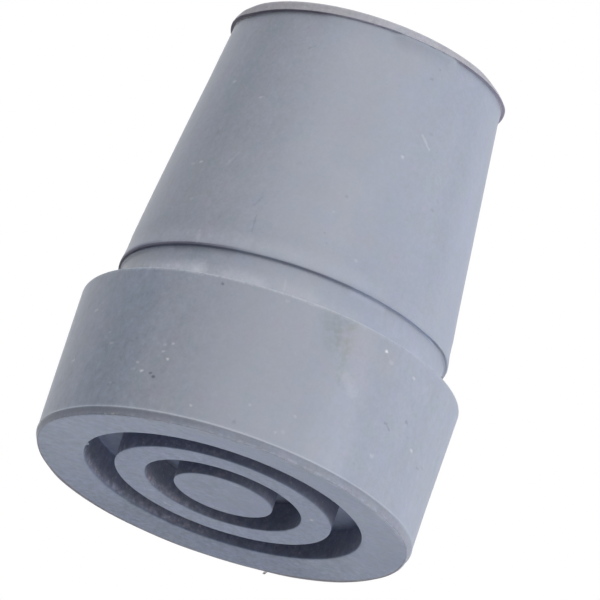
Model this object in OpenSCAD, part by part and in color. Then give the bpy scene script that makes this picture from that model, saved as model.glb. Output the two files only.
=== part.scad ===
// Rubber tip for the foot of a walking cane, moulded in one piece.
// Frame: +Z runs up the cane, Z = 0 is the plane the tip stands on,
// and the origin is on the axis.

/* [Overall] */
// Height from the standing ring to the top of the lip
total_h = 49.5; // [48:0.5:60]

/* [Foot] */
// Radius of the foot at the edge of its tread
foot_r = 19.7; // [19:0.1:22]
// Radius of the base just above its parting line
base_low_r = 19.96; // [19:0.02:23]
// Radius of the base at its sharp top edge, a little wider than below
base_top_r = 20.2; // [19:0.02:23]
// Height of the sharp top edge of the base
base_h = 16.3; // [15:0.1:18]
// Height of the parting line that runs around the foot
parting_z = 0.8; // [0.5:0.05:1.5]
// How far the parting ridge stands out of the side
parting_proud = 0.06; // [0.02:0.01:0.25]

/* [Tread] */
// Outer radius of the outer groove
groove_a_out = 14.82; // [14:0.02:15.5]
// Inner radius of the outer groove
groove_a_in = 11.55; // [11:0.05:12]
// Outer radius of the inner groove
groove_b_out = 8.35; // [7.5:0.05:9]
// Inner radius of the inner groove, which is the radius of the centre disc
groove_b_in = 5.25; // [4.5:0.05:6]
// Depth of both grooves, measured from the tread
groove_depth = 3.36; // [2:0.02:5]
// Slope of the groove walls, in degrees from the axis
groove_draft = 0.5; // [0.5:0.5:6]
// Width of the flat ring that the tip stands on
stand_ring = 0.4; // [0.2:0.1:1]
// Height of the tread above the standing plane, at the outer groove
dish_edge = 0.34; // [0.1:0.02:0.8]
// Height of the tread above the standing plane, at the centre
dish_mid = 0.48; // [0.1:0.02:0.8]

/* [Neck and skirt] */
// Radius of the neck between the base and the skirt
neck_r = 17.2; // [16:0.1:17.5]
// Height of the lower edge of the skirt
skirt_z = 20.25; // [19:0.05:22]
// Radius of the lower edge of the skirt
skirt_r = 17.6; // [17.4:0.02:18.5]
// Height over which the lower edge of the skirt flares out
skirt_flare_h = 2.7; // [1:0.1:4]
// Radius of the tube above the flare
tube_low_r = 17.3; // [17:0.1:17.6]
// Radius of the tube under the lip
tube_top_r = 14.44; // [14:0.02:15.5]

/* [Lip] */
// Height of the lip, from its lower edge to the top
lip_h = 0.92; // [0.5:0.02:2]
// Radius of the lower edge of the lip
lip_r = 14.86; // [14.6:0.02:16]
// Radius of the lip below its sloped top edge
lip_top_r = 14.72; // [13.5:0.02:14.8]
// Width and height of the slope at the top edge of the lip
lip_slope = 0.22; // [0.1:0.02:0.4]

/* [Socket] */
// Diameter of the socket that takes the cane
socket_d = 22; // [18:0.5:24]
// Depth of the socket from the top of the lip
socket_depth = 35; // [25:1:36]
// Height of the lead-in at the mouth
lead_in = 0.5; // [0.2:0.1:0.8]

/* [Hidden] */
// A small amount that carries a cut past a face
eps = 0.5;
// Height of the lower edge of the lip
lip_z = total_h - lip_h;
// Radius of the socket
socket_r = socket_d / 2;
// How much each groove wall leans over the groove's depth
lean = groove_depth * tan(groove_draft);

// Height of the tread at radius r, from the centre out to the outer groove
function tread_z(r) = dish_mid - (dish_mid - dish_edge) * r / groove_a_out;

// The whole outer form, turned in one: tread, foot, base, neck, skirt, tube and lip
module outer_form() {
  rotate_extrude($fn = 180)
    polygon([
      [0, dish_mid],
      [groove_a_out, dish_edge],
      [foot_r - stand_ring, 0],
      [foot_r, 0],
      [base_low_r + parting_proud, parting_z],
      [base_low_r, parting_z + 0.25],
      [base_top_r, base_h - 0.15],
      [base_top_r - 0.15, base_h],
      [neck_r, base_h],
      [neck_r, skirt_z],
      [skirt_r - 0.1, skirt_z],
      [skirt_r, skirt_z + 0.15],
      [skirt_r - 0.04, skirt_z + 0.7],
      [tube_low_r, skirt_z + skirt_flare_h],
      [tube_top_r, lip_z],
      [lip_r - 0.05, lip_z],
      [lip_r, lip_z + 0.1],
      [lip_top_r, total_h - lip_slope],
      [lip_top_r - lip_slope, total_h],
      [0, total_h]
    ]);
}

// One ring groove of the tread, narrower at its floor than at its mouth
module tread_groove(r_in, r_out) {
  mouth_in = r_in - eps * tan(groove_draft);
  mouth_out = r_out + eps * tan(groove_draft);
  mouth_z = dish_edge - eps;
  rotate_extrude($fn = 180)
    polygon([
      [mouth_in, mouth_z],
      [mouth_out, mouth_z],
      [r_out - lean, groove_depth + dish_edge],
      [r_in + lean, groove_depth + dish_edge]
    ]);
}

// The blind socket, with a short lead-in at its mouth
module socket() {
  translate([0, 0, total_h - socket_depth])
    cylinder(r = socket_r, h = socket_depth + eps, $fn = 180);
  translate([0, 0, total_h - lead_in])
    cylinder(r1 = socket_r, r2 = socket_r + 2 * lead_in, h = 2 * lead_in, $fn = 180);
}

// The moulded tip
module cane_tip() {
  color([0.56, 0.585, 0.64])
    difference() {
      outer_form();
      tread_groove(groove_a_in, groove_a_out);
      tread_groove(groove_b_in, groove_b_out);
      socket();
    }
}

cane_tip();
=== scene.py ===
"""Looks of the moulded rubber cane tip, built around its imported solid.

Lengths are in millimetres, and MM turns them into metres. An azimuth is how many degrees
a place lies to the right of the front.
"""
import math

import bpy
import numpy as np
from mathutils import Matrix


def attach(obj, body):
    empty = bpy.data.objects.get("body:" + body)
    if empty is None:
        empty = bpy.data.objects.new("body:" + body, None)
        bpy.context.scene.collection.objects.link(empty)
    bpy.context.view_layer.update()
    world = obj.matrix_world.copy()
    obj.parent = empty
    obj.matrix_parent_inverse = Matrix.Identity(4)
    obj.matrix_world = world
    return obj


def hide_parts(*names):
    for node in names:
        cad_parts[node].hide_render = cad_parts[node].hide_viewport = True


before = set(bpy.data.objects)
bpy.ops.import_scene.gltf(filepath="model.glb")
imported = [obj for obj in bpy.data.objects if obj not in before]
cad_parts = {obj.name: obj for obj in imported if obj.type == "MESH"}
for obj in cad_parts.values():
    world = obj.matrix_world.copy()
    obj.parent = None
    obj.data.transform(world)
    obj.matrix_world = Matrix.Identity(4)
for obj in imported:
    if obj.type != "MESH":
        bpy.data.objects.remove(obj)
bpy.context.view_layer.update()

MM = 0.001
SEGMENTS = 240
FRONT = -90.0
ROUND = (-181, 181)

# The tread: radii of the disc and the ring between the grooves, and the height of each edge
DISC_R, DISC_Z = 5.25, 0.46
INNER_R, INNER_Z = 8.35, 0.44
RING_R, RING_Z = 11.55, 0.40
OUTER_R, OUTER_Z = 14.82, 0.34
FLOOR_Z = 3.7
LEAN = 0.03
# The outside, from the foot up to the lip
FOOT_R = 19.7
BASE_LOW_R = 19.97
BASE_R, BASE_Z = 20.2, 16.3
NECK_R = 17.2
SKIRT_R, SKIRT_Z = 17.6, 20.25
TUBE_TOP_R = 14.44
LIP_R, LIP_Z = 14.87, 48.58
LIP_TOP_R, TOP_Z = 14.72, 49.5
SOCKET_R = 11.0
SOCKET_FLOOR = 14.5

# The moulding is not quite true: height, and how far the right side stands above the middle there
BASE_RISE, SKIRT_RISE, LIP_RISE = 0.06, 0.12, 0.3
RISES = [
    (4.5, 0.0), (4.6, BASE_RISE), (16.4, BASE_RISE), (20.2, SKIRT_RISE),
    (LIP_Z - 0.5, SKIRT_RISE), (LIP_Z, LIP_RISE), (TOP_Z - 0.1, 0.0),
]

# Each ring of edges that is rounded: radius, height, width of the rounding
ROUNDED = [
    (DISC_R, DISC_Z, 0.1), (DISC_R + LEAN, FLOOR_Z, 0.1),
    (INNER_R - LEAN, FLOOR_Z, 0.1), (INNER_R, INNER_Z, 0.1),
    (RING_R, RING_Z, 0.1), (RING_R + LEAN, FLOOR_Z, 0.1),
    (OUTER_R - LEAN, FLOOR_Z, 0.1), (OUTER_R, OUTER_Z, 0.12),
    (FOOT_R, 0.0, 0.1), (BASE_R, BASE_Z, 0.22),
    (NECK_R, BASE_Z, 0.28), (NECK_R, SKIRT_Z, 0.2), (SKIRT_R, SKIRT_Z, 0.1),
    (TUBE_TOP_R, LIP_Z, 0.17), (LIP_R, LIP_Z, 0.06), (LIP_TOP_R, TOP_Z, 0.27),
    (SOCKET_R + 0.5, TOP_Z, 0.15), (SOCKET_R, TOP_Z - 0.5, 0.2), (SOCKET_R, SOCKET_FLOOR, 0.8),
]

# Soft pulls: two azimuths, two radii and two heights of what is held; its pull outward and up; the reach
BASE_EDGE = ((19.9, 20.3), (BASE_Z - 0.3, BASE_Z + 0.2))
FOOT_RIM = ((19.5, 19.8), (-0.1, 0.1))
WIDE_RIM = ((19.4, 19.8), (-0.1, 0.1))
PULLS = [
    # the parting line climbs on the right, and stands out a little more there
    ((64, 88), (19.9, 20.1), (0.6, 1.1), 0.0, 0.14, 5.0),
    ((78, 108), (19.9, 20.1), (0.6, 1.3), 0.06, 0.0, 5.0),
    # the top edge of the base dips at the front and stands higher at both sides
    ((-20, -4), *BASE_EDGE, 0.0, -0.06, 7.0),
    ((55, 82), *BASE_EDGE, 0.0, 0.04, 6.0),
    ((-88, -62), *BASE_EDGE, 0.0, 0.03, 6.0),
    # the edge of the skirt climbs at the right end
    ((72, 100), (17.3, 17.7), (20.1, 20.6), 0.05, 0.2, 7.0),
    # the tube is a little full on the left
    ((-110, -70), (15.0, 17.0), (30.0, 36.0), 0.08, 0.0, 12.0),
    ((-102, -76), (14.3, 14.8), (45.0, 48.0), 0.05, 0.0, 4.0),
    # the rim of the foot is lifted on the left, and a little out of round at the back
    ((-96, -76), *FOOT_RIM, -0.02, 0.12, 4.0),
    ((-146, -126), *FOOT_RIM, 0.2, 0.0, 6.0),
    ((136, 150), *FOOT_RIM, 0.16, 0.0, 5.0),
    ((164, 178), *WIDE_RIM, -0.09, 0.02, 5.0),
    ((104, 116), *FOOT_RIM, -0.05, 0.0, 3.0),
    ((-116, -104), *WIDE_RIM, -0.07, 0.0, 3.0),
]


# -------- small helpers

def nothing_selected():
    """Leaves object mode with nothing selected."""
    if bpy.context.object and bpy.context.object.mode != "OBJECT":
        bpy.ops.object.mode_set(mode="OBJECT")
    bpy.ops.object.select_all(action="DESELECT")


def bearing(azimuth):
    """Angle about Z, in radians, of an azimuth."""
    return math.radians(FRONT + azimuth)


def places_of(piece):
    """Every vertex of the piece in millimetres, one row each, outside edit mode."""
    places = np.empty(len(piece.data.vertices) * 3)
    piece.data.vertices.foreach_get("co", places)
    return places.reshape(-1, 3) / MM


def rise_at(height):
    """How far the right side of the tip stands above its middle at this height."""
    return float(np.interp(height, [z for z, rise in RISES], [rise for z, rise in RISES]))


def pick_ring(piece, radius, height, near=0.02):
    """Selects the ring of edges at this radius and height."""
    bpy.ops.mesh.select_all(action="DESELECT")
    bpy.ops.object.mode_set(mode="OBJECT")
    places = places_of(piece)
    mesh = piece.data
    ends = np.empty(len(mesh.edges) * 2, dtype=int)
    mesh.edges.foreach_get("vertices", ends)
    reach = np.maximum(np.hypot(places[:, 0], places[:, 1]), 0.001)
    rise = rise_at(height) if radius > SOCKET_R + 1 else 0.0
    on_ring = np.abs(reach - radius) < near
    on_ring &= np.abs(places[:, 2] - rise * places[:, 0] / reach - height) < near
    mesh.edges.foreach_set("select", on_ring[ends.reshape(-1, 2)].all(axis=1))
    bpy.ops.object.mode_set(mode="EDIT")


def pick_points(piece, azimuths, radii, heights):
    """Selects the vertices between two azimuths, two radii and two heights."""
    bpy.ops.mesh.select_mode(type="VERT")
    bpy.ops.mesh.select_all(action="DESELECT")
    bpy.ops.object.mode_set(mode="OBJECT")
    places = places_of(piece)
    reach = np.hypot(places[:, 0], places[:, 1])
    side = (np.degrees(np.arctan2(places[:, 1], places[:, 0])) - FRONT + 180) % 360 - 180
    inside = (side > azimuths[0]) & (side < azimuths[1])
    inside &= (reach > radii[0]) & (reach < radii[1])
    inside &= (places[:, 2] > heights[0]) & (places[:, 2] < heights[1])
    piece.data.vertices.foreach_set("select", inside)
    bpy.ops.object.mode_set(mode="EDIT")


def hide_points(piece, *where):
    """Hides some vertices, so that a soft pull leaves them where they are."""
    pick_points(piece, *where)
    bpy.ops.mesh.hide(unselected=False)


def softly(reach):
    """Settings of a transform that drags along what lies within reach."""
    return {
        "use_proportional_edit": True, "proportional_edit_falloff": "SMOOTH",
        "proportional_size": reach * MM, "use_proportional_connected": True,
    }


def push(azimuth, outward, upward, reach):
    """Moves what is selected outward and upward, softly."""
    turn = bearing(azimuth)
    way = (outward * math.cos(turn) * MM, outward * math.sin(turn) * MM, upward * MM)
    bpy.ops.transform.translate(value=way, **softly(reach))


def squeeze(azimuth, share, level, reach):
    """Draws what is selected up or down towards one level, softly."""
    turn = bearing(azimuth)
    middle = (14.5 * math.cos(turn) * MM, 14.5 * math.sin(turn) * MM, level * MM)
    bpy.ops.transform.resize(value=(1, 1, share), center_override=middle, **softly(reach))


# -------- the moulded tip

class Turner:
    """Pulls one open ring of edges up and out, step by step, as on a lathe."""

    def __init__(self, name, radius, height):
        nothing_selected()
        bpy.ops.mesh.primitive_circle_add(
            vertices=SEGMENTS, radius=radius * MM, fill_type="NOTHING", location=(0, 0, height * MM)
        )
        self.piece = bpy.context.object
        self.piece.name = name
        self.piece.data.name = name
        bpy.ops.object.transform_apply(location=True, rotation=True, scale=True)
        bpy.ops.object.mode_set(mode="EDIT")
        bpy.ops.mesh.select_mode(type="EDGE")
        bpy.ops.mesh.select_all(action="SELECT")
        self.r, self.z, self.rise = radius, height, 0.0

    def step(self, radius, height):
        """One extrusion to a new radius and height."""
        bpy.ops.mesh.extrude_region_move(
            TRANSFORM_OT_translate={"value": (0, 0, (height - self.z) * MM)}
        )
        grow = radius / self.r
        bpy.ops.transform.resize(value=(grow, grow, 1), center_override=(0, 0, 0))
        self.r, self.z = radius, height

    def steps(self, *places):
        """Several extrusions, one after the other."""
        for radius, height in places:
            self.step(radius, height)

    def run(self, radius, height, parts, hold=0.3):
        """A straight wall to a new place, with a holding ring close to each of its ends."""
        length = math.hypot(radius - self.r, height - self.z)
        start_r, start_z = self.r, self.z
        stops = [n / parts for n in range(1, parts)]
        if length > 4 * hold:
            stops = [hold / length] + [s for s in stops if hold < s * length < length - hold]
            stops.append(1 - hold / length)
        for stop in stops + [1]:
            self.step(start_r + (radius - start_r) * stop, start_z + (height - start_z) * stop)

    def tip_to(self, rise):
        """Tilts the open ring until its right edge stands this far above its middle."""
        turn = math.atan2(rise - self.rise, self.r)
        bpy.ops.transform.rotate(value=turn, orient_axis="Y", center_override=(0, 0, self.z * MM))
        self.rise = rise

    def close(self):
        """Draws the open ring together in the middle."""
        bpy.ops.mesh.extrude_region_move()
        bpy.ops.mesh.merge(type="CENTER")


def moulding_faults(piece):
    """The small faults of the real moulding, pulled in one by one."""
    for azimuths, radii, heights, outward, upward, reach in PULLS:
        pick_points(piece, azimuths, radii, heights)
        push(sum(azimuths) / 2, outward, upward, reach)
    # the grooves lie a little off the middle
    pick_points(piece, ROUND, (-1, 15.0), (-1, 4.0))
    push(90, 0.05, 0.0, 2.0)
    # the lip is thinner at its left and right ends
    hide_points(piece, ROUND, (0, 21), (-1, LIP_Z - 0.75))
    hide_points(piece, ROUND, (0, 14.3), (40, 60))
    for azimuth, share, reach in ((-94, 0.45, 7.5), (94, 0.4, 7.0)):
        pick_points(piece, (azimuth - 8, azimuth + 8), (14.6, 15.0), (LIP_Z - 0.8, TOP_Z - 0.2))
        squeeze(azimuth, share, TOP_Z, reach)
    # its top was trimmed lower here and there
    for azimuth, share, level, reach in ((68, 0.62, 48.87, 4.0), (-74, 0.88, 48.3, 3.0)):
        pick_points(piece, (azimuth - 5, azimuth + 5), (14.3, 15.0), (LIP_Z + 0.2, TOP_Z + 0.2))
        squeeze(azimuth, share, level, reach)
    pick_points(piece, (-104, -76), (14.7, 15.1), (LIP_Z - 0.6, TOP_Z + 0.1))
    push(-90, -0.07, 0.0, 1.5)
    fill_undercut(piece)
    # a burr in the mouth of the outer groove
    pick_points(piece, (-83.2, -81.8), (14.6, 15.0), (0.2, 0.5))
    push(-82.5, -0.26, 0.0, 0.35)
    crumb(piece)


def fill_undercut(piece):
    """Flash under the lip at the right of the front, one ring of points after the other."""
    above_tube = (LIP_Z - 0.7, 60)
    by_undercut = (LIP_Z - 0.35, LIP_Z + 0.3)
    for inner, outer, outward in (
        (14.83, 14.857, 0.022), (14.79, 14.83, 0.05), (14.57, 14.68, 0.245), (14.50, 14.57, 0.31),
        (14.38, 14.50, 0.34),
    ):
        bpy.ops.mesh.reveal(select=False)
        hide_points(piece, ROUND, (outer, 15.1), above_tube)
        if inner > 14.4:
            hide_points(piece, ROUND, (13.0, inner), above_tube)
        pick_points(piece, (8.5, 33.0), (inner, outer), by_undercut)
        push(21, outward, 0.0, 1.1)
    bpy.ops.mesh.reveal(select=False)
    # the undercut is shallower to the left of the flash
    hide_points(piece, ROUND, (14.68, 15.1), above_tube)
    pick_points(piece, (-22.0, 4.0), (14.38, 14.66), by_undercut)
    push(-9, 0.14, 0.0, 1.4)
    bpy.ops.mesh.reveal(select=False)


def crumb(piece):
    """A crumb of flash that hangs from the far edge of the foot."""
    pick_points(piece, (158.4, 160.6), (19.5, 20.3), (0.05, 0.36))
    bpy.ops.mesh.select_mode(type="FACE")
    bpy.ops.mesh.inset(thickness=0.07 * MM)
    turn = bearing(190.0)
    bpy.ops.mesh.extrude_region_move(
        TRANSFORM_OT_translate={"value": (math.cos(turn) * MM, math.sin(turn) * MM, -0.1 * MM)}
    )
    bpy.ops.transform.resize(value=(0.7, 0.7, 0.7))
    bpy.ops.mesh.select_mode(type="VERT")


def moulded_tip():
    """The one moulded piece: tread, foot, base, neck, skirt, tube, lip and socket."""
    tip = Turner("moulded_tip", DISC_R, DISC_Z)
    # the two grooves, from the disc outward
    tip.run(DISC_R + LEAN, FLOOR_Z, 4)
    tip.run(INNER_R - LEAN, FLOOR_Z, 2)
    tip.run(INNER_R, INNER_Z, 4)
    tip.run(RING_R, RING_Z, 3)
    tip.run(RING_R + LEAN, FLOOR_Z, 4)
    tip.run(OUTER_R - LEAN, FLOOR_Z, 2)
    tip.run(OUTER_R, OUTER_Z, 4)
    # the rim, the foot band and the parting line
    tip.run(19.3, 0.0, 4)
    tip.steps((19.58, 0.0), (FOOT_R, 0.0), (19.74, 0.11), (19.81, 0.3), (19.87, 0.44))
    tip.tip_to(BASE_RISE)
    tip.steps((19.92, 0.57), (19.97, 0.68), (20.02, 0.76), (20.02, 0.82), (19.98, 0.91), (BASE_LOW_R, 1.0))
    # the base and the neck
    tip.run(BASE_R, BASE_Z, 18)
    tip.run(NECK_R, BASE_Z, 3)
    tip.run(NECK_R, SKIRT_Z, 5)
    tip.tip_to(SKIRT_RISE)
    # the flare of the skirt and the tube
    tip.steps(
        (SKIRT_R, SKIRT_Z), (SKIRT_R, 20.52), (17.55, 20.85), (17.45, 21.4), (17.36, 22.1), (17.3, 22.8),
        (17.27, 23.5),
    )
    tip.run(TUBE_TOP_R, LIP_Z, 28, hold=0.5)
    tip.tip_to(LIP_RISE)
    # the lip, whose top is level again
    tip.step(LIP_R, LIP_Z)
    for radius, height, rise in (
        (14.84, LIP_Z + 0.14, 0.28), (14.8, LIP_Z + 0.32, 0.2), (14.76, TOP_Z - 0.38, 0.09), (LIP_TOP_R, TOP_Z, 0.0),
    ):
        tip.step(radius, height)
        tip.tip_to(rise)
    # the socket, down to its floor
    tip.run(SOCKET_R + 0.5, TOP_Z, 3)
    tip.step(SOCKET_R, TOP_Z - 0.5)
    tip.run(SOCKET_R, SOCKET_FLOOR, 20, hold=1.0)
    tip.steps((5.5, SOCKET_FLOOR), (1.65, SOCKET_FLOOR))
    tip.close()
    # the disc in the middle of the tread
    piece = tip.piece
    pick_ring(piece, DISC_R, DISC_Z)
    tip.r, tip.z = DISC_R, DISC_Z
    tip.steps((5.0, DISC_Z), (3.6, 0.47), (1.8, 0.48))
    tip.close()
    for radius, height, width in ROUNDED:
        pick_ring(piece, radius, height)
        bpy.ops.mesh.bevel(offset=width * MM, segments=3, affect="EDGES")
    bpy.ops.mesh.select_all(action="SELECT")
    bpy.ops.mesh.remove_doubles(threshold=0.000001)
    bpy.ops.mesh.normals_make_consistent(inside=False)
    moulding_faults(piece)
    bpy.ops.object.mode_set(mode="OBJECT")
    bpy.ops.object.shade_smooth()
    return piece


tip = moulded_tip()
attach(tip, "root")
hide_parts("cane_tip")


# -------- single nodes

def node(tree, kind, inputs=None, **settings):
    """Adds one node; each input is a plain value or the socket of another node."""
    made = tree.nodes.new("ShaderNode" + kind)
    for name, value in settings.items():
        setattr(made, name, value)
    for socket, value in (inputs or {}).items():
        if isinstance(value, bpy.types.NodeSocket):
            tree.links.new(value, made.inputs[socket])
        else:
            made.inputs[socket].default_value = value
    return made


def sums(tree, how, first, second=0.0, third=0.0):
    """One step of arithmetic on values."""
    return node(tree, "Math", {0: first, 1: second, 2: third}, operation=how).outputs[0]


def vector(tree, how, first, second=(0, 0, 0)):
    """One step of arithmetic on places or colours."""
    made = node(tree, "VectorMath", {0: first, 1: second}, operation=how)
    return made.outputs["Value" if how in ("DOT_PRODUCT", "LENGTH") else "Vector"]


def scaled(tree, first, share):
    """A place or colour, times one value."""
    return node(tree, "VectorMath", {0: first, 3: share}, operation="SCALE").outputs[0]


def fade(tree, value, start, stop, low=0.0, high=1.0):
    """A soft step from low to high while the value goes from start to stop."""
    made = node(
        tree, "MapRange", {0: value, 1: start, 2: stop, 3: low, 4: high}, interpolation_type="SMOOTHSTEP"
    )
    return made.outputs[0]


def blend(tree, share, under, over):
    """One colour laid over another by a share."""
    return node(tree, "Mix", {0: share, 6: under, 7: over}, data_type="RGBA").outputs[2]


def cloud(tree, place, scale, detail=2.0):
    """Soft noise around zero, from about -0.5 to 0.5."""
    noise = node(tree, "TexNoise", {"Vector": place, "Scale": scale, "Detail": detail})
    return sums(tree, "SUBTRACT", noise.outputs[0], 0.5)


def split(tree, place):
    """The three parts of a place."""
    return node(tree, "SeparateXYZ", {0: place}).outputs


# -------- node groups

# Sockets of the groups that aren't single values
KINDS = {"Place": "Vector", "Shift": "Vector", "Start": "Vector", "End": "Vector", "Colour": "Color"}


def new_group(name, takes, gives):
    """An empty node group, and inside it the sockets of what it takes and what it gives."""
    group = bpy.data.node_groups.new(name, "ShaderNodeTree")
    for labels, way in ((takes, "INPUT"), (gives, "OUTPUT")):
        for label in labels:
            kind = "NodeSocket" + KINDS.get(label, "Float")
            group.interface.new_socket(label, in_out=way, socket_type=kind)
    return group, group.nodes.new("NodeGroupInput").outputs, group.nodes.new("NodeGroupOutput").inputs


def grain_group():
    """Uneven tone of moulded rubber: slow clouds, a fine grain and a warm tint here and there."""
    labels = ("Place", "Colour", "Cloud", "Grain", "Tint")
    tree, takes, gives = new_group("rubber_grain", labels, ("Colour", "Height"))
    place = takes["Place"]
    slow = sums(tree, "ADD", cloud(tree, place, 130, 3), cloud(tree, place, 420, 3))
    fine = sums(tree, "ADD", cloud(tree, place, 1500, 2), cloud(tree, place, 3600, 2))
    tone = sums(tree, "MULTIPLY_ADD", slow, takes["Cloud"], 1.0)
    tone = sums(tree, "MULTIPLY_ADD", fine, takes["Grain"], tone)
    toned = scaled(tree, takes["Colour"], tone)
    shifted = vector(tree, "ADD", place, (0.3, 0.1, 0.7))
    warm = sums(tree, "MULTIPLY", fade(tree, cloud(tree, shifted, 90, 3), -0.1, 0.25), takes["Tint"])
    tinted = blend(tree, warm, toned, vector(tree, "MULTIPLY", toned, (1.03, 1.0, 0.90)))
    hues = node(tree, "TexNoise", {"Vector": shifted, "Scale": 520.0, "Detail": 3.0}).outputs[1]
    hues = scaled(tree, vector(tree, "SUBTRACT", hues, (0.5, 0.5, 0.5)), takes["Tint"])
    hues = node(tree, "VectorMath", {0: hues, 1: (0.5, 0.25, 0.4), 2: (1, 1, 1)}, operation="MULTIPLY_ADD")
    tree.links.new(vector(tree, "MULTIPLY", tinted, hues.outputs[0]), gives["Colour"])
    tree.links.new(fine, gives["Height"])
    return tree


def speck_group():
    """Specks strewn at random: how many cells to a metre, how wide in a cell, how many cells hold one."""
    tree, takes, gives = new_group("strewn_specks", ("Place", "Cells", "Width", "Share"), ("Mask",))
    cells = node(tree, "TexVoronoi", {"Vector": takes["Place"], "Scale": takes["Cells"]})
    lot = node(tree, "SeparateColor", {0: cells.outputs["Color"]})
    held = sums(tree, "LESS_THAN", lot.outputs[0], takes["Share"])
    wide = sums(tree, "MULTIPLY", takes["Width"], sums(tree, "MULTIPLY_ADD", lot.outputs[1], 0.8, 0.3))
    spot = fade(tree, cells.outputs["Distance"], wide, sums(tree, "MULTIPLY", wide, 0.4))
    spot = sums(tree, "MULTIPLY", spot, sums(tree, "MULTIPLY_ADD", lot.outputs[2], 0.7, 0.3))
    tree.links.new(sums(tree, "MULTIPLY", spot, held), gives["Mask"])
    return tree


def stroke_group():
    """A mark along a short line from Start to End: a speck, a scratch, a smear or a stain."""
    tree, takes, gives = new_group("stroke", ("Place", "Start", "End", "Width", "Ragged"), ("Mask",))
    along = vector(tree, "SUBTRACT", takes["End"], takes["Start"])
    from_start = vector(tree, "SUBTRACT", takes["Place"], takes["Start"])
    gone = vector(tree, "DOT_PRODUCT", from_start, along)
    share = sums(tree, "DIVIDE", gone, vector(tree, "DOT_PRODUCT", along, along))
    nearest = scaled(tree, along, node(tree, "Clamp", {0: share}).outputs[0])
    away = vector(tree, "LENGTH", vector(tree, "SUBTRACT", from_start, nearest))
    rough = sums(tree, "MULTIPLY", sums(tree, "MULTIPLY", takes["Ragged"], takes["Width"]), 4.0)
    lumps = sums(tree, "ADD", cloud(tree, takes["Place"], 700, 3), cloud(tree, takes["Place"], 3400, 2))
    away = sums(tree, "MULTIPLY_ADD", lumps, rough, away)
    core = sums(tree, "MULTIPLY", takes["Width"], 0.1)
    tree.links.new(fade(tree, away, takes["Width"], core), gives["Mask"])
    return tree


def around(tree, place):
    """How far right a place lies, from -1 to 1, and its distance from the axis."""
    parts = split(tree, place)
    reach = vector(tree, "LENGTH", node(tree, "CombineXYZ", {0: parts[0], 1: parts[1]}).outputs[0])
    return sums(tree, "DIVIDE", parts[0], sums(tree, "MAXIMUM", reach, MM)), reach


def around_group():
    """Where a place lies round the tip, for every finish."""
    tree, takes, gives = new_group("around_tip", ("Place",), ("Right", "Reach"))
    right, reach = around(tree, takes["Place"])
    tree.links.new(right, gives["Right"])
    tree.links.new(reach, gives["Reach"])
    return tree


def ring_group():
    """A mark that runs right round the tip at one height, with a ragged edge if wanted."""
    tree, takes, gives = new_group("ring_mark", ("Place", "Height", "Width", "Ragged", "Rise"), ("Mask",))
    right = around(tree, takes["Place"])[0]
    fall = sums(tree, "MULTIPLY", takes["Rise"], -1.0)
    level = sums(tree, "MULTIPLY_ADD", right, fall, split(tree, takes["Place"])[2])
    off = sums(tree, "SUBTRACT", level, takes["Height"])
    off = sums(tree, "ADD", off, sums(tree, "MULTIPLY", cloud(tree, takes["Place"], 700, 3), takes["Ragged"]))
    off = sums(tree, "ABSOLUTE", off)
    core = sums(tree, "MULTIPLY", takes["Width"], 0.35)
    tree.links.new(fade(tree, off, takes["Width"], core), gives["Mask"])
    return tree


def break_group():
    """Breaks a mask up into clouds, which fill out while the noise goes from Empty to Full."""
    labels = ("Place", "Shift", "Mask", "Scale", "Detail", "Empty", "Full")
    tree, takes, gives = new_group("cloudy_breaks", labels, ("Mask",))
    shifted = vector(tree, "ADD", takes["Place"], takes["Shift"])
    noise = cloud(tree, shifted, takes["Scale"], takes["Detail"])
    clouds = fade(tree, noise, takes["Empty"], takes["Full"])
    tree.links.new(sums(tree, "MULTIPLY", takes["Mask"], clouds), gives["Mask"])
    return tree


GRAIN, SPECKS, STROKE = grain_group(), speck_group(), stroke_group()
AROUND, RING, BREAKS = around_group(), ring_group(), break_group()


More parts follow.
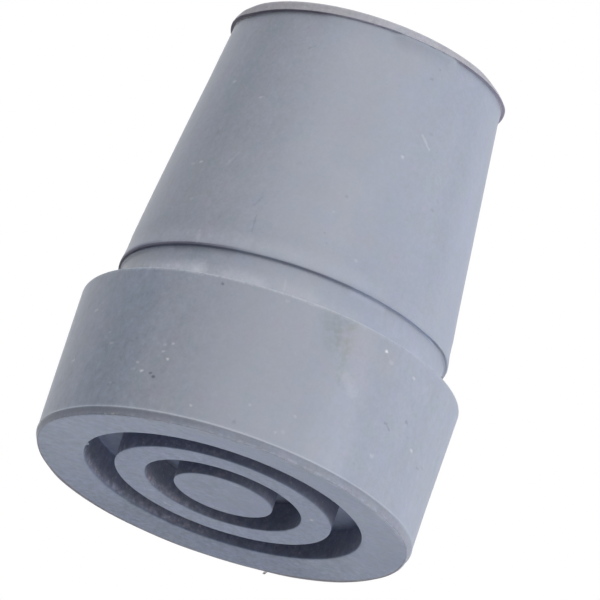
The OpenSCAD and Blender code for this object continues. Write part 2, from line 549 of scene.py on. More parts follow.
class Finish:
    """One material in the making: its rubber shader, and a colour that marks are laid over."""

    def __init__(self, name, roughness, gloss):
        self.material = bpy.data.materials.new(name)
        self.material.use_nodes = True
        self.tree = self.material.node_tree
        self.shader = self.tree.nodes["Principled BSDF"]
        self.shader.inputs["Specular IOR Level"].default_value = gloss
        self.place = node(self.tree, "TexCoord").outputs["Object"]
        self.roughness = roughness
        self.right, self.reach = self.group(AROUND)
        self.depth, self.level = split(self.tree, self.place)[1:]

    def group(self, which, **values):
        """Adds a node group at the place of the surface, and returns its outputs."""
        return node(self.tree, "Group", {"Place": self.place, **values}, node_tree=which).outputs

    def grain(self, colour, cloudy, grainy, tint):
        """The plain rubber, before any mark."""
        made = self.group(GRAIN, Colour=(*colour, 1), Cloud=cloudy, Grain=grainy, Tint=tint)
        self.colour, self.height = made["Colour"], made["Height"]
        self.rough = sums(self.tree, "MULTIPLY_ADD", self.height, 0.12, self.roughness)

    def times(self, *masks):
        """Where all of the masks are."""
        product = masks[0]
        for mask in masks[1:]:
            product = sums(self.tree, "MULTIPLY", product, mask)
        return product

    def either(self, *masks):
        """Where any of the masks is."""
        most = masks[0]
        for mask in masks[1:]:
            most = sums(self.tree, "MAXIMUM", most, mask)
        return most

    def rightward(self, start, stop, low=0.0, high=1.0):
        """A soft step from left to right, or back, between two shares of the way to the side."""
        return fade(self.tree, self.right, start, stop, low, high)

    def past(self, length, start, stop):
        """A soft step while a length goes from start to stop, in millimetres."""
        return fade(self.tree, length, start * MM, stop * MM)

    def strokes(self, marks):
        """The strongest of several strokes at each place; each mark: start, end, width, ragged, strength."""
        return self.either(*(
            self.times(self.group(STROKE, Start=start, End=end, Width=width * MM, Ragged=ragged)["Mask"], strength)
            for start, end, width, ragged, strength in marks
        ))

    def patchy(self, mask, scale, start=-0.12, stop=0.12, detail=4.0, shift=(0, 0, 0)):
        """Breaks a mask up into clouds."""
        clouds = {"Scale": scale, "Detail": detail, "Empty": start, "Full": stop, "Shift": shift}
        return self.group(BREAKS, Mask=mask, **clouds)["Mask"]

    def specks(self, cells, width, share):
        """Where strewn specks are."""
        return self.group(SPECKS, Cells=cells, Width=width, Share=share)["Mask"]

    def ring(self, height, width, ragged, rise=None):
        """A mark round the tip at this height, which follows the rise of the moulding there."""
        rise = rise_at(max(height, 4.6)) if rise is None else rise
        return self.group(RING, Height=height * MM, Width=width * MM, Ragged=ragged * MM, Rise=rise * MM)["Mask"]

    def tone(self, mask, factors):
        """Multiplies the colour by three factors where the mask is."""
        changed = vector(self.tree, "MULTIPLY", self.colour, factors)
        self.colour = blend(self.tree, mask, self.colour, changed)

    def strew(self, *rows):
        """Strewn specks; each row: cells to a metre, width, share of cells, factors of tone."""
        for cells, width, share, factors in rows:
            self.tone(self.specks(cells, width, share), factors)

    def lay(self, mask, colour):
        """Lays a colour over where the mask is."""
        self.colour = blend(self.tree, mask, self.colour, (*colour, 1))

    def roughen(self, mask, amount):
        """Makes the surface duller where the mask is."""
        self.rough = sums(self.tree, "MULTIPLY_ADD", mask, amount, self.rough)

    def raise_by(self, mask, amount):
        """Raises the relief where the mask is."""
        self.height = sums(self.tree, "MULTIPLY_ADD", mask, amount, self.height)

    def done(self, bump):
        """Joins everything to the shader; bump is the depth of the relief."""
        links = self.tree.links
        links.new(self.colour, self.shader.inputs["Base Color"])
        links.new(self.rough, self.shader.inputs["Roughness"])
        relief = node(self.tree, "Bump", {"Strength": 1.0, "Distance": bump * MM, "Height": self.height})
        links.new(relief.outputs["Normal"], self.shader.inputs["Normal"])
        return self.material


# -------- marks

# The outside as marks see it: height and radius
OUTSIDE = [
    (0.0, FOOT_R), (0.68, BASE_LOW_R), (1.0, BASE_LOW_R), (BASE_Z, BASE_R), (BASE_Z + 0.01, NECK_R),
    (20.24, NECK_R), (SKIRT_Z, SKIRT_R), (21.5, 17.49), (23.5, 17.27), (LIP_Z, TUBE_TOP_R),
    (LIP_Z + 0.01, LIP_R), (TOP_Z, LIP_TOP_R),
]


def on_side(azimuth, height):
    """A point on the outside of the tip, in metres."""
    radius = float(np.interp(height, [z for z, r in OUTSIDE], [r for z, r in OUTSIDE]))
    turn = bearing(azimuth)
    return (radius * math.cos(turn) * MM, radius * math.sin(turn) * MM, height * MM)


def on_tread(azimuth, radius):
    """A point on the tread, in metres."""
    turn = bearing(azimuth)
    return (radius * math.cos(turn) * MM, radius * math.sin(turn) * MM, 0.4 * MM)


def spots(where, marks):
    """Round marks: azimuth, height or radius, width and strength."""
    rows = []
    for azimuth, level, width, strength in marks:
        spread = 0.1 + 0.5 * abs(azimuth / 60) ** 3 if where is on_side else 0.05
        rows.append((where(azimuth - spread, level), where(azimuth + spread, level), width, 0.3, strength))
    return rows


def lines(where, marks):
    """Long marks: where they start and end, width, how ragged and strength."""
    return [(where(*start), where(*end), *rest) for start, end, *rest in marks]


PALE_SPOTS = [
    (32.8, 14.92, 0.27, 0.95), (-35.4, 4.91, 0.25, 0.8), (-28.4, 6.51, 0.23, 0.75), (-63.5, 11.83, 0.22, 0.45),
    (-68.2, 6.46, 0.22, 0.45), (55.4, 7.75, 0.26, 0.4), (-28.2, 8.2, 0.2, 0.45), (-37.8, 5.75, 0.2, 0.4),
    (-30.5, 7.23, 0.2, 0.4), (-30.7, 7.96, 0.22, 0.3), (40.0, 4.54, 0.32, 0.28), (-16.9, 2.17, 0.21, 0.4),
    (45.7, 14.17, 0.22, 0.35), (-52.6, 9.02, 0.24, 0.28), (-50.2, 7.78, 0.22, 0.3), (-38.5, 5.0, 0.28, 0.22),
    (-45.4, 3.41, 0.26, 0.2), (35.4, 14.2, 0.36, 0.16), (12.5, 4.45, 0.24, 0.2), (-0.8, 3.95, 0.24, 0.22),
    (8.6, 2.16, 0.24, 0.2), (10.7, 2.51, 0.24, 0.16), (-0.3, 15.44, 0.3, 0.12), (-51.4, 30.08, 0.24, 0.45),
    (-55.8, 29.94, 0.22, 0.25), (-38.4, 30.19, 0.28, 0.18), (-48.0, 25.57, 0.24, 0.2), (-53.9, 39.86, 0.24, 0.35),
    (22.9, 36.0, 0.25, 0.35), (-36.8, 37.9, 0.24, 0.3), (4.6, 27.25, 0.22, 0.15), (17.3, 23.2, 0.24, 0.18),
]
PALE_LINES = [
    ((28.8, 39.2), (33.0, 38.2), 0.22, 0.4, 0.22),
    ((22.4, 10.4), (24.6, 9.9), 0.9, 0.4, 0.12),
    ((24.4, 9.8), (27.0, 9.2), 0.8, 0.4, 0.12),
    ((-3.2, 18.6), (-2.6, 17.5), 0.2, 0.3, 0.09),
    ((-38.3, 21.8), (-37.0, 20.6), 0.3, 0.4, 0.16),
    ((-36.0, 31.2), (-38.6, 29.8), 0.24, 0.5, 0.14),
]
DARK_SPOTS = [
    (-19.6, 15.36, 0.24, 0.75), (-32.4, 4.74, 0.2, 0.75), (-31.0, 4.42, 0.22, 0.9), (49.1, 9.78, 0.24, 0.45),
    (40.8, 8.3, 0.2, 0.4), (62.1, 6.84, 0.22, 0.3), (64.8, 7.25, 0.22, 0.25), (7.5, 29.33, 0.26, 0.35),
    (4.0, 24.7, 0.2, 0.25), (-49.5, 33.5, 0.24, 0.2), (42.9, 33.75, 0.3, 0.14), (32.3, 39.9, 0.3, 0.16),
    (26.0, 45.5, 0.26, 0.25), (-42.5, 8.1, 0.3, 0.2), (-44.0, 3.34, 0.24, 0.25), (-30.7, 2.33, 0.3, 0.16),
    (-3.4, 1.71, 0.3, 0.3), (51.8, 8.6, 0.26, 0.16), (41.4, 14.18, 0.24, 0.14), (34.7, 2.84, 0.24, 0.16),
    (28.6, 46.9, 0.2, 0.3), (5.7, 23.7, 0.22, 0.2), (41.6, 32.5, 0.3, 0.2), (-11.9, 31.3, 0.26, 0.12),
]
DARK_LINES = [
    ((41.5, 8.25), (43.0, 7.95), 0.2, 0.5, 0.4),
    ((-25.0, 44.3), (-23.0, 44.6), 0.22, 0.5, 0.35),
    ((-20.4, 26.5), (-22.0, 25.5), 0.2, 0.5, 0.2),
    ((-19.3, 22.6), (-19.9, 24.4), 0.16, 0.4, 0.26),
    ((-49.9, 33.7), (-48.6, 33.4), 0.2, 0.5, 0.25),
    # dark flecks along the seam of the flash
    ((15.2, 48.6), (18.0, 48.61), 0.1, 0.5, 0.35),
    ((21.0, 48.64), (22.8, 48.66), 0.13, 0.5, 0.6),
    ((26.2, 48.66), (28.8, 48.67), 0.12, 0.5, 0.5),
]
SHADED = [
    ((-50, 3.0), (-46, 12.0), 4.6, 0.1, 0.9),
    ((-52, 12.0), (-56, 15.0), 4.0, 0.1, 0.5),
    ((-60, 23.7), (-28, 23.9), 1.3, 0.1, 0.6),
    ((-50, 27.0), (-46, 46.0), 3.6, 0.1, 0.65),
    ((-70, 19.3), (-34, 19.4), 1.1, 0.05, 0.9),
]
STAIN = [
    ((12.2, 15.4), (16.0, 12.8), 1.3, 0.15, 0.7),
    ((15.0, 15.6), (17.5, 13.2), 1.2, 0.15, 0.9),
    ((19.4, 15.8), (20.4, 12.2), 1.0, 0.2, 0.8),
    ((20.6, 12.4), (21.1, 9.6), 0.6, 0.3, 0.9),
    ((17.5, 15.6), (19.5, 12.0), 2.2, 0.1, 0.5),
]
# Broad patches of the skin, most of them painted light and shade: factors of tone, and the strokes that they follow
PATCHES = [
    # painted light on the front of the base, the neck and the foot of the tube
    ((1.08, 1.07, 1.06), [
        ((26.0, 10.5), (29.0, 2.0), 3.2, 0.05, 1.0), ((20.0, 12.0), (21.0, 2.0), 2.6, 0.05, 0.9),
        ((-45, 17.0), (55, 17.1), 1.9, 0.05, 1.8), ((-52, 21.3), (-20, 21.4), 1.2, 0.05, 1.6),
        ((-14, 21.4), (22, 21.5), 1.2, 0.05, 0.8),
    ]),
    # painted light on the neck, bounced up from the top of the base
    ((1.30, 1.26, 1.19), [((-34, 16.8), (-12, 16.9), 1.9, 0.05, 1.0)]),
    ((1.42, 1.39, 1.32), [((-54, 17.6), (-34, 17.7), 1.5, 0.05, 1.0)]),
    ((1.2, 1.18, 1.14), [((-66, 17.9), (-58, 17.9), 1.2, 0.05, 1.0)]),
    ((1.09, 1.08, 1.05), [((-22, 17.9), (6, 18.0), 1.4, 0.05, 1.0)]),
    ((1.10, 1.07, 1.03), [((-2, 16.9), (24, 17.0), 1.8, 0.05, 1.0)]),
    # the neck close under the skirt: painted shade on the left, painted light to the right of the front
    ((0.80, 0.81, 0.82), [((-46, 20.0), (-24, 20.0), 0.8, 0.05, 1.0)]),
    ((1.14, 1.14, 1.14), [((20, 20.0), (32, 20.0), 0.7, 0.05, 1.0)]),
    # round the damp stain
    ((1.025, 1.005, 0.97), [((22, 14.2), (34, 13.6), 2.8, 0.1, 1.0)]),
    ((1.03, 1.02, 0.99), [((22, 15.6), (27, 15.4), 1.6, 0.05, 1.0)]),
    ((1.03, 1.0, 0.985), [((22.0, 14.5), (27.0, 11.0), 2.2, 0.1, 1.0)]),
    # painted light and shade on the sides of the base, and the tube
    ((1.055, 1.055, 1.055), [
        ((24, 14.5), (27, 1.5), 3.0, 0.05, 1.0), ((-61, 15.0), (-61, 2.0), 2.6, 0.05, 0.8),
    ]),
    ((0.955, 0.955, 0.955), [
        ((57, 2.0), (58, 15.0), 3.4, 0.05, 1.0), ((52, 24.0), (54, 46.0), 3.0, 0.05, 1.0),
        ((4, 34.0), (6, 47.0), 4.2, 0.05, 1.0), ((-2, 24.0), (-2, 30.0), 3.4, 0.05, 0.8),
    ]),
    ((0.965, 0.965, 0.965), [
        ((-43, 1.5), (-39, 13.0), 2.4, 0.05, 0.8), ((49, 30.0), (51, 47.0), 3.0, 0.05, 0.8),
        ((48, 1.5), (52, 8.0), 3.0, 0.05, 0.8),
    ]),
    ((0.97, 0.972, 0.98), [
        ((36, 38.0), (40, 46.0), 2.6, 0.05, 1.0), ((38, 21.5), (43, 27.0), 2.6, 0.05, 0.8),
    ]),
    ((1.02, 1.022, 1.02), [
        ((8, 2.5), (26, 2.5), 3.4, 0.05, 1.0), ((-4, 4.0), (6, 3.0), 2.4, 0.05, 0.6),
    ]),
]
TREAD_PALE_SPOTS = [
    (78.3, 9.55, 0.32, 1.0), (-60.6, 17.3, 0.18, 0.5), (-45.8, 18.4, 0.18, 0.3), (-41.4, 19.55, 0.26, 0.8),
    (-44.0, 19.5, 0.2, 0.4),
]
TREAD_PALE_LINES = [
    ((168.0, 4.6), (190.0, 4.5), 0.12, 0.6, 0.4), ((-2.0, 4.86), (6.5, 4.62), 0.26, 0.4, 0.32),
    ((9.0, 4.5), (15.5, 4.6), 0.28, 0.4, 0.36), ((-148.0, 9.9), (-151.0, 9.95), 0.3, 0.5, 0.3),
]
TREAD_DARK_SPOTS = [(28.4, 17.7, 0.18, 0.35), (1.3, 18.0, 0.17, 0.35), (159.5, 10.0, 0.3, 0.4)]
BAND_PALE_SPOTS = [(-41.0, 0.04, 0.24, 0.9), (-43.9, 0.04, 0.18, 0.5)]


# -------- materials

def moulded_skin():
    """The smooth outside: base, neck, skirt and tube, with dust, small marks, one damp stain, and painted light and
    shade.
    """
    skin = Finish("moulded_skin", 0.5, 0.5)
    left = skin.rightward(-0.1, -0.75)
    sides = skin.either(left, skin.rightward(0.3, 0.75, 0.0, 0.45))
    cloudy = sums(skin.tree, "MULTIPLY_ADD", sides, 0.08, 0.06)
    grainy = sums(skin.tree, "MULTIPLY_ADD", sides, 0.16, 0.11)
    skin.grain((0.350, 0.384, 0.478), cloudy, grainy, 0.25)
    skin_tones(skin, left, sides)
    skin_edges(skin)
    dark = skin.strokes(spots(on_side, DARK_SPOTS) + lines(on_side, DARK_LINES))
    skin.tone(dark, (0.40, 0.42, 0.44))
    pale = skin.strokes(spots(on_side, PALE_SPOTS) + lines(on_side, PALE_LINES))
    skin.lay(pale, (0.78, 0.80, 0.84))
    skin.roughen(pale, 0.2)
    skin.raise_by(dark, -1.0)
    return skin.done(0.004)


def skin_tones(skin, left, sides):
    """Broad tones of the skin: painted shade, painted light, the stain, specks and dust."""
    shade = skin.strokes(lines(on_side, SHADED))
    skin.tone(skin.patchy(shade, 420, -0.35, 0.1), (0.87, 0.90, 0.89))
    for factors, marks in PATCHES:
        skin.tone(skin.strokes(lines(on_side, marks)), factors)
    low = skin.past(skin.level, 17.0, 16.0)
    corner = skin.times(low, skin.rightward(-0.45, -0.75))
    elsewhere = sums(skin.tree, "SUBTRACT", 1.0, corner)
    front = skin.times(skin.rightward(-0.9, -0.65), skin.rightward(0.5, 0.1), elsewhere)
    neck = skin.times(skin.past(skin.level, 16.5, 17.0), skin.past(skin.level, 20.2, 19.5))
    # painted light and shade by side: warmer at the front, cooler low on the left, warmer on the far left of the
    # neck, bluer on the right, lighter on the left and darker at the far left edge
    for mask, factors in (
        (front, (1.022, 1.004, 0.972)),
        (corner, (0.975, 1.0, 1.025)),
        (skin.times(neck, skin.rightward(-0.7, -0.85)), (1.025, 1.0, 0.955)),
        (skin.rightward(0.6, 0.95), (0.98, 1.0, 1.03)),
        (skin.times(skin.rightward(-0.95, -0.8), skin.rightward(-0.1, -0.4)), (1.04, 1.04, 1.04)),
        (skin.rightward(-0.93, -0.985), (0.93, 0.93, 0.93)),
    ):
        skin.tone(mask, factors)
    stain = skin.strokes(lines(on_side, STAIN))
    skin.tone(skin.patchy(stain, 1500, -0.22, 0.1), (0.80, 0.83, 0.755))
    skin.strew((420, 0.06, 0.45, (0.78, 0.80, 0.82)), (760, 0.07, 0.3, (0.86, 0.87, 0.89)))
    mottled = skin.times(low, sides)
    for start, stop, factors in ((0.02, 0.2, (0.89, 0.90, 0.91)), (-0.02, -0.2, (1.09, 1.09, 1.08))):
        skin.tone(skin.patchy(mottled, 1100, start, stop, shift=(0.4, 0.2, 0.6)), factors)
    dust = sums(skin.tree, "MULTIPLY_ADD", left, 0.75, 0.25)
    skin.tone(skin.times(skin.specks(420, 0.1, 0.5), dust), (1.22, 1.21, 1.19))


def skin_edges(skin):
    """Wear and painted highlights along the base's top edge and the parting line, painted shade and painted light
    along the skirt, and painted shade under the lip with the flash there.
    """
    # the top edge of the base: rubbed pale and a painted highlight, with darker gaps in it on the left
    outside = skin.past(skin.reach, 19.0, 19.7)
    wear_and_highlight = skin.times(skin.ring(16.16, 0.3, 0.35), outside, skin.rightward(-0.1, 0.5, 1.0, 0.3))
    skin.tone(skin.patchy(wear_and_highlight, 2300, -0.2, 0.1), (1.24, 1.22, 1.15))
    gaps = skin.times(skin.ring(16.24, 0.2, 0.05), outside, skin.rightward(0.2, -0.2))
    skin.tone(skin.patchy(gaps, 3000, 0.0, 0.1), (0.84, 0.83, 0.80))
    skin.roughen(gaps, 0.2)
    # the parting line: rubbed pale and a painted highlight, strongest on the left
    wear_and_highlight = skin.ring(0.88, 0.13, 0.06)
    skin.tone(skin.times(wear_and_highlight, skin.rightward(-0.7, 0.3, 1.0, 0.5)), (1.26, 1.24, 1.18))
    # the edge of the skirt: painted shade on the left, painted light on the right
    painted_shade = skin.ring(20.36, 0.23, 0.06)
    skin.tone(skin.times(painted_shade, skin.rightward(-0.65, -0.2, 1.0, 0.0)), (0.3, 0.29, 0.34))
    painted_shade = skin.times(skin.ring(20.32, 0.62, 0.1), skin.rightward(-0.75, -0.92), skin.past(skin.reach, 17.35, 17.45))
    skin.tone(painted_shade, (0.42, 0.42, 0.54))
    skin.roughen(painted_shade, 0.15)
    # painted light on the underside of the skirt's edge towards the right, and at its right end
    right_end = skin.rightward(0.85, 0.93)
    rightish = sums(skin.tree, "SUBTRACT", skin.rightward(0.1, 0.6), right_end)
    skin.tone(skin.times(skin.ring(SKIRT_Z, 0.1, 0.02), rightish), (1.5, 1.5, 1.5))
    painted_light_edge = skin.times(skin.ring(SKIRT_Z, 0.16, 0.02, rise=0.31), right_end)
    skin.tone(painted_light_edge, (1.34, 1.3, 1.2))
    # painted shade under the lip, strongest on the left, and the flash there
    painted_shade = skin.ring(LIP_Z - 0.02, 0.14, 0.06)
    ends = sums(skin.tree, "ADD", skin.rightward(-0.8, -0.3, 1.0, 0.2), skin.rightward(0.5, 0.56, 0.0, 0.1))
    skin.tone(skin.times(painted_shade, ends), (0.6, 0.58, 0.62))
    flash = skin.strokes(lines(on_side, [((9.5, 48.45), (32.0, 48.5), 0.45, 0.2, 1.0)]))
    skin.tone(skin.patchy(flash, 2300, -0.2, 0.1), (1.1, 1.05, 1.04))


def trimmed_lip():
    """The lip, where the mould's flash was cut away: warmer and duller than the skin."""
    lip = Finish("trimmed_lip", 0.6, 0.3)
    lip.grain((0.435, 0.437, 0.485), 0.18, 0.3, 0.3)
    # painted light on the left and painted shade on the right, a little more between a fifth and half of the way
    # right
    lip.tone(lip.rightward(-0.2, -0.7), (1.05, 1.03, 1.05))
    lip.tone(lip.rightward(0.1, 0.8), (0.96, 0.96, 0.97))
    lip.tone(lip.times(lip.rightward(0.1, 0.2), lip.rightward(0.62, 0.5)), (0.955, 0.96, 0.985))
    # the crumb of flash at the foot has this finish too, made much paler by painted light
    lip.tone(lip.past(lip.level, 2.0, 1.0), (2.05, 2.0, 1.85))
    lip.strew((900, 0.16, 0.5, (0.86, 0.83, 0.83)), (1300, 0.2, 0.4, (1.12, 1.1, 1.08)))
    return lip.done(0.014)


def socket_wall():
    """The inside of the socket: duller, and drawn lengthwise by the core that made it."""
    wall = Finish("socket_wall", 0.62, 0.35)
    wall.grain((0.335, 0.362, 0.44), 0.14, 0.22, 0.3)
    drawn = node(wall.tree, "Mapping", {"Vector": wall.place, "Scale": (1, 1, 0.03)}).outputs[0]
    draws = fade(wall.tree, cloud(wall.tree, drawn, 900, 3), 0.02, 0.2)
    wall.tone(draws, (0.93, 0.93, 0.94))
    wall.raise_by(draws, -0.4)
    wall.strew((500, 0.14, 0.4, (1.2, 1.18, 1.15)))
    return wall.done(0.01)


def undercut():
    """The underside of the lip: dark rubber as painted shade, with painted light at the front and to the right, most
    at the flash.
    """
    under = Finish("undercut", 0.7, 0.2)
    under.grain((0.28, 0.26, 0.34), 0.2, 0.3, 0.3)
    under.tone(under.times(under.rightward(0.13, 0.17), under.rightward(0.56, 0.52)), (1.42, 1.42, 1.32))
    under.tone(under.rightward(-0.55, -0.2), (1.75, 1.78, 1.7))
    under.tone(under.times(under.rightward(-0.45, -0.2), under.rightward(0.5, 0.3)), (1.3, 1.32, 1.3))
    return under.done(0.01)


def tread():
    """The foot's face and its grooves, bluer than the sides, with brown dust on the groove walls, and painted light
    and shade.
    """
    face = Finish("tread", 0.55, 0.25)
    face.grain((0.334, 0.394, 0.560), 0.16, 0.27, 0.36)
    groove_tones(face)
    rim_tones(face)
    mottle_tread(face)
    face.strew(
        (800, 0.1, 0.5, (0.78, 0.79, 0.82)), (1500, 0.18, 0.5, (1.16, 1.14, 1.10)),
        (2300, 0.22, 0.5, (0.86, 0.86, 0.88)),
    )
    face.lay(face.strokes(spots(on_tread, TREAD_PALE_SPOTS) + lines(on_tread, TREAD_PALE_LINES)), (0.84, 0.86, 0.90))
    face.tone(face.strokes(spots(on_tread, TREAD_DARK_SPOTS)), (0.6, 0.6, 0.62))
    return face.done(0.006)


def groove_tones(face):
    """Painted shade and dust in the two grooves, painted light on their far walls near the mouths, painted shade at
    the back of the tread, and cooler rubber between them.
    """
    deep = face.past(face.level, 0.4, 0.7)
    shallow = fade(face.tree, deep, 0.5, 0.0)
    # painted shade deep in the grooves
    face.tone(deep, (0.88, 0.87, 0.875))
    corners = face.either(face.past(face.reach, 6.2, 5.4), face.past(face.reach, 7.3, 8.2))
    corners = face.times(corners, face.past(face.reach, 9.0, 8.5), face.past(face.level, 3.4, 3.6))
    # painted shade in the corners of the inner groove's floor
    face.tone(corners, (0.6, 0.58, 0.58))
    wall = face.times(deep, face.past(face.level, 3.6, 3.4))
    face.tone(wall, (0.94, 0.89, 0.86))
    face.tone(face.patchy(wall, 1900, 0.0, 0.2), (1.28, 1.18, 1.06))
    face.tone(face.times(face.specks(3100, 0.5, 0.5), wall), (1.5, 1.38, 1.22))
    mouth = face.times(deep, face.past(face.level, 1.4, 0.7), face.rightward(0.2, -0.5, 0.25, 1.0))
    face.tone(face.patchy(mouth, 1700, -0.12, 0.2), (1.9, 1.75, 1.6))
    # painted light on the far walls, near their mouths
    far_wall = face.times(deep, face.past(face.depth, 2.0, 5.0), face.rightward(0.35, 0.0, 0.35, 1.0))
    face.tone(face.times(far_wall, face.past(face.level, 1.5, 0.8)), (1.2, 1.19, 1.17))
    face.tone(face.times(far_wall, face.past(face.level, 0.9, 0.5)), (1.18, 1.16, 1.13))
    # painted shade on the back of the tread
    face.tone(face.times(face.past(face.depth, 11.0, 15.5), shallow), (0.875, 0.885, 0.91))
    face.tone(face.times(face.past(face.reach, 12.1, 11.3), shallow), (0.985, 1.005, 1.03))


def rim_tones(face):
    """The rim of the tread: dirty at the back, with painted light at the front and on the outer tread at both ends.
    """
    back = face.past(face.depth, -4.0, 10.0)
    bent = sums(face.tree, "MULTIPLY_ADD", back, 0.25 * MM, face.reach)
    face.tone(face.times(face.past(bent, 19.56, 19.7), face.past(face.depth, -5.0, 2.0)), (0.56, 0.45, 0.43))
    far_rim = face.times(
        face.past(face.reach, 19.05, 19.3), face.past(face.depth, 6.0, 11.0), face.rightward(-0.7, -0.1)
    )
    face.tone(far_rim, (0.77, 0.74, 0.70))
    near = face.past(face.depth, -4.0, -9.0)
    front_rim = face.times(near, face.past(face.reach, 19.1, 19.4))
    # painted light on the front of the rim, from the middle rightward, and patchy darker on the left
    face.tone(face.times(front_rim, face.rightward(-0.65, -0.2)), (1.26, 1.22, 1.15))
    face.tone(face.patchy(face.times(front_rim, face.rightward(0.3, 0.0)), 2300, 0.0, 0.12), (0.93, 0.92, 0.88))
    # painted light on the front edge of the tread, from the middle rightward
    painted_light_edge = face.times(near, face.rightward(-0.75, -0.4))
    face.tone(face.times(painted_light_edge, face.past(face.reach, 19.44, 19.56)), (1.2, 1.19, 1.17))
    face.tone(face.times(painted_light_edge, face.past(face.reach, 19.56, 19.62)), (1.32, 1.29, 1.24))
    # painted light on the outer tread at both ends
    outer = face.past(face.reach, 14.5, 15.5)
    face.tone(face.times(outer, face.rightward(0.45, 1.0)), (1.23, 1.21, 1.17))
    face.tone(face.times(outer, face.rightward(-0.8, -0.97)), (1.10, 1.08, 1.05))


def mottle_tread(face):
    """Coarse and fine mottling: at the back, on the left and between the grooves."""
    island = face.times(face.past(face.reach, 8.0, 8.6), face.past(face.reach, 11.8, 11.2))
    back = face.past(face.depth, -4.0, 10.0)
    coarse = face.either(back, face.rightward(0.1, -0.6, 0.3, 0.9), face.times(island, 0.85))
    fine = face.either(face.past(face.depth, 8.0, 13.0), face.times(island, 0.6))
    for mask, scale, detail, shift, start, stop, factors in (
        (coarse, 1250, 4, (0.2, 0.5, 0.1), 0.0, 0.16, (0.85, 0.86, 0.87)),
        (coarse, 1250, 4, (0.2, 0.5, 0.1), -0.02, -0.16, (1.14, 1.13, 1.11)),
        (fine, 2300, 3, (0.7, 0.1, 0.3), 0.0, 0.14, (0.84, 0.85, 0.86)),
        (fine, 2300, 3, (0.7, 0.1, 0.3), -0.02, -0.16, (1.15, 1.13, 1.10)),
    ):
        face.tone(face.patchy(mask, scale, start, stop, detail, shift), factors)


def foot_band():
    """The band between the tread and the parting line: grey, with painted shade under the line and painted light and
    shade by side and along its foot.
    """
    band = Finish("foot_band", 0.6, 0.3)
    band.grain((0.405, 0.436, 0.535), 0.2, 0.25, 0.3)
    under_line = band.times(band.ring(0.6, 0.26, 0.05), band.rightward(-0.5, 0.1, 0.9, 0.0))
    not_left = band.rightward(-0.75, -0.4)
    # painted light and shade: darker except at the far left, painted shade under the parting line, painted light
    # along the foot away from the left, darker on the right
    for mask, factors in (
        (band.rightward(-0.86, -0.7), (0.94, 0.94, 0.95)),
        (band.rightward(-0.7, -0.86), (1.08, 1.08, 1.08)),
        (under_line, (0.86, 0.86, 0.87)),
        (band.times(band.past(band.level, 0.18, 0.04), not_left), (1.18, 1.17, 1.16)),
        (band.times(band.past(band.level, 0.1, 0.06), not_left), (1.2, 1.19, 1.17)),
        (band.rightward(0.5, 0.75), (0.95, 0.95, 0.96)),
        (band.patchy(band.rightward(-0.2, 0.3), 420, 0.0, 0.2), (1.03, 1.02, 0.97)),
        (band.patchy(band.ring(0.0, 0.34, 0.12), 2300, -0.05, 0.1), (1.18, 1.18, 1.2)),
    ):
        band.tone(mask, factors)
    band.strew((900, 0.14, 0.45, (0.85, 0.85, 0.86)), (1300, 0.18, 0.4, (1.12, 1.11, 1.08)))
    band.lay(band.strokes(spots(on_side, BAND_PALE_SPOTS)), (0.74, 0.76, 0.78))
    return band.done(0.01)


def give_finishes(piece):
    """Gives every face its finish, by where it lies."""
    finishes = [moulded_skin(), trimmed_lip(), tread(), foot_band(), undercut(), socket_wall()]
    for material in finishes:
        piece.data.materials.append(material)
    skin, lip, face, band, under, wall = range(len(finishes))
    mesh = piece.data
    centres, normals = np.empty(len(mesh.polygons) * 3), np.empty(len(mesh.polygons) * 3)
    mesh.polygons.foreach_get("center", centres)
    mesh.polygons.foreach_get("normal", normals)
    x, y, z = centres.reshape(-1, 3).T / MM
    reach = np.maximum(np.hypot(x, y), 0.001)
    right = x / reach
    outside = reach > SOCKET_R + 0.2
    slot = np.full(len(z), skin)
    slot[outside & ((z - LIP_RISE * right > LIP_Z - 0.02) | (z > TOP_Z - 0.4))] = lip
    slot[(reach > FOOT_R - 0.03) & (z - BASE_RISE * right < 0.72)] = band
    slot[(reach < FOOT_R - 0.03) & (z < 4.0)] = face
    # the crumb of flash
    slot[(reach > 19.95) & (z < 0.5) & (right > 0.27) & (right < 0.38) & (y > 0)] = lip
    slot[(slot == lip) & (z > 4.0) & (normals.reshape(-1, 3)[:, 2] < -0.45)] = under
    slot[(reach < SOCKET_R + 0.2) & (z > 10)] = wall
    mesh.polygons.foreach_set("material_index", slot)


give_finishes(tip)


# -------- floor, light and camera

def stage_floor():
    """A pale floor that is seen from above only, and takes the tip's shadow."""
    nothing_selected()
    bpy.ops.mesh.primitive_plane_add(size=6, location=(0, 0, 0))
    floor = bpy.context.object
    floor.name = "floor"
    pale = bpy.data.materials.new("floor_pale")
    pale.use_nodes = True
    tree = pale.node_tree
    tree.nodes.clear()
    matt = node(tree, "BsdfDiffuse", {"Color": (0.86, 0.86, 0.87, 1)})
    clear = node(tree, "BsdfTransparent")
    seen_from = node(tree, "NewGeometry").outputs["Backfacing"]
    mix = node(tree, "MixShader", {"Fac": seen_from, 1: matt.outputs["BSDF"], 2: clear.outputs["BSDF"]})
    node(tree, "OutputMaterial", {"Surface": mix.outputs["Shader"]})
    floor.data.materials.append(pale)
    floor.visible_shadow = False
    floor.visible_diffuse = False
    floor.visible_glossy = False


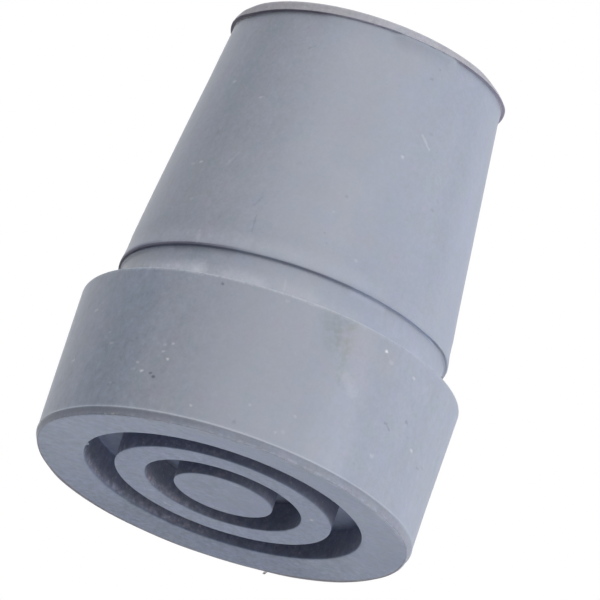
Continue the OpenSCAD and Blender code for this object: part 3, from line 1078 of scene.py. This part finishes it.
def white_world(level):
    """Even light all round, and plain white behind the object."""
    world = bpy.data.worlds.new("studio")
    bpy.context.scene.world = world
    world.use_nodes = True
    tree = world.node_tree
    tree.nodes.clear()
    path = node(tree, "LightPath").outputs
    mirrored = sums(tree, "MAXIMUM", path["Is Glossy Ray"], path["Is Transmission Ray"])
    direct = sums(tree, "MAXIMUM", path["Is Camera Ray"], mirrored)
    lit = node(tree, "Background", {"Color": (1, 1, 1, 1), "Strength": level})
    seen = node(tree, "Background", {"Color": (1, 1, 1, 1), "Strength": 1.0})
    mix = node(tree, "MixShader", {"Fac": direct, 1: lit.outputs["Background"], 2: seen.outputs["Background"]})
    node(tree, "OutputWorld", {"Surface": mix.outputs["Shader"]})


def soft_lamp(name, azimuth, elevation, power, size=0.8, distance=0.8):
    """A square soft lamp that faces the middle of the tip, with its size and distance in metres."""
    data = bpy.data.lights.new(name, "AREA")
    data.shape = "SQUARE"
    data.size = size
    data.energy = power
    lamp = bpy.data.objects.new(name, data)
    bpy.context.scene.collection.objects.link(lamp)
    lamp.visible_camera = False
    turn, rise = bearing(azimuth), math.radians(elevation)
    flat = distance * math.cos(rise)
    lamp.location = (flat * math.cos(turn), flat * math.sin(turn), distance * math.sin(rise) + 0.025)
    lamp.rotation_euler = (math.radians(90 - elevation), 0, turn + math.radians(90))


def view_camera():
    """Looks up at the foot of the tip, with the tip leaning to the right."""
    data = bpy.data.cameras.new("camera")
    data.sensor_width = 36
    data.lens = 500
    data.clip_start = 0.05
    data.clip_end = 20
    camera = bpy.data.objects.new("camera", data)
    bpy.context.scene.collection.objects.link(camera)
    camera.rotation_mode = "XYZ"
    rise, roll = math.radians(-19.12), math.radians(18.88)
    turned = Matrix.Rotation(math.radians(90) - rise, 4, "X") @ Matrix.Rotation(roll, 4, "Z")
    camera.matrix_world = Matrix.Translation((0.00106, -0.80551, -0.25624)) @ turned
    bpy.context.scene.camera = camera


# Each lamp: name, azimuth, degrees up and power, and its size where it is a smaller one
LAMPS = [
    ("front", 0, 30, 4.86),
    ("key", 60, 8, 2.0),
    ("right_rim", 105, 0, 2.95),
    ("left_rim", -140, 5, 1.3),
    ("top", 0, 85, 2.0),
    ("foot_far", 180, -25, 1.8),
    ("foot_near", 70, -75, 0.78, 0.3),
]
WORLD_LEVEL = 0.08

stage_floor()
white_world(WORLD_LEVEL)
for lamp in LAMPS:
    soft_lamp(*lamp)
view_camera()
bpy.context.scene.view_settings.view_transform = "Standard"
